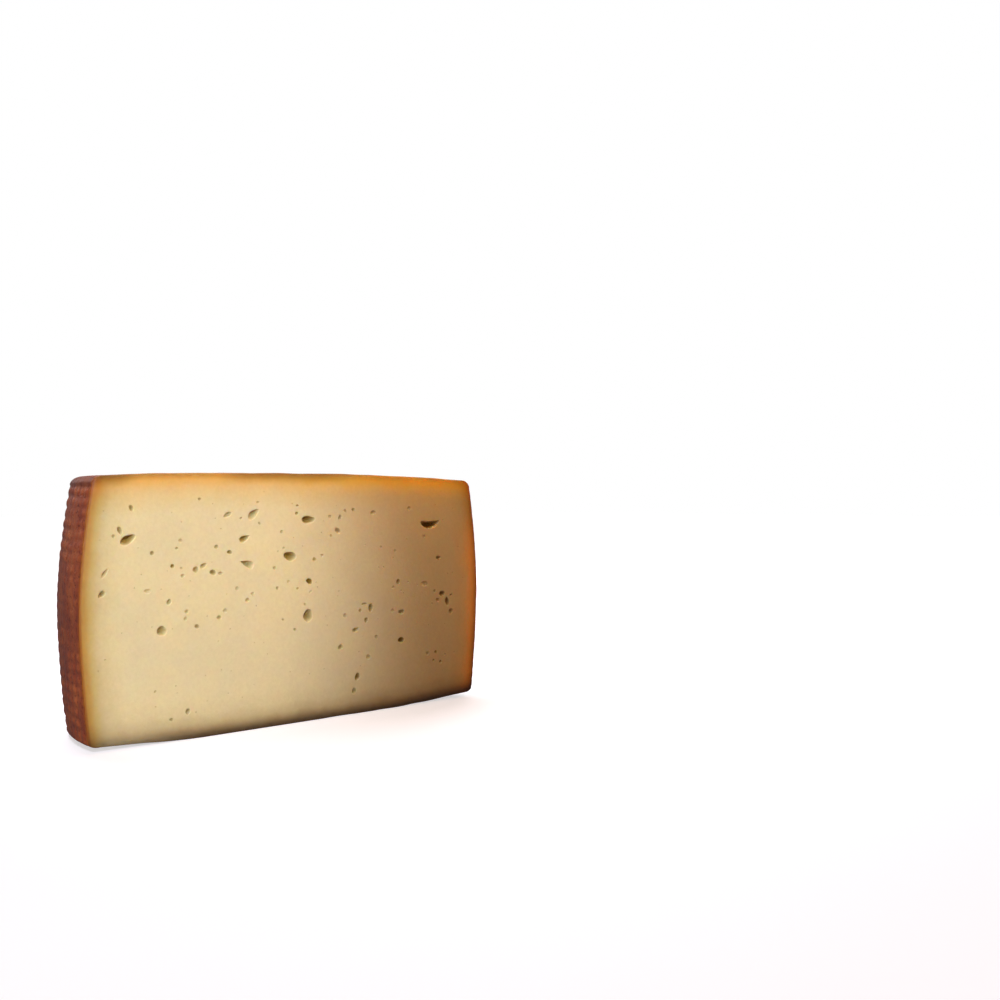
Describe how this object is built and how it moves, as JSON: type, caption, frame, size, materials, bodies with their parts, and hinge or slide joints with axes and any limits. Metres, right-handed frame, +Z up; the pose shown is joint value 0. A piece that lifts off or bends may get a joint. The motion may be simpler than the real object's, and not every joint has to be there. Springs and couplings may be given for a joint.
{
  "type": "half wheel of pecorino cheese",
  "caption": "Half of a drum-shaped sheep's milk cheese, cut straight through the middle: flat cut face with small eyes, bulged heel with the mould's net print, resting on its base.",
  "frame": {"origin": "on the surface that the cheese rests on, under the middle of its bounding box", "axes": "+Z up along the wheel's axis, +X along the cut face to the right as seen from the front, +Y into the cheese: the cut face looks along -Y"},
  "size_m": [0.2, 0.1, 0.107],
  "materials": {
    "cheese": "satin"
  },
  "bodies": {
    "root": {"half_wheel": "cheese"}
  },
  "joints": []
}
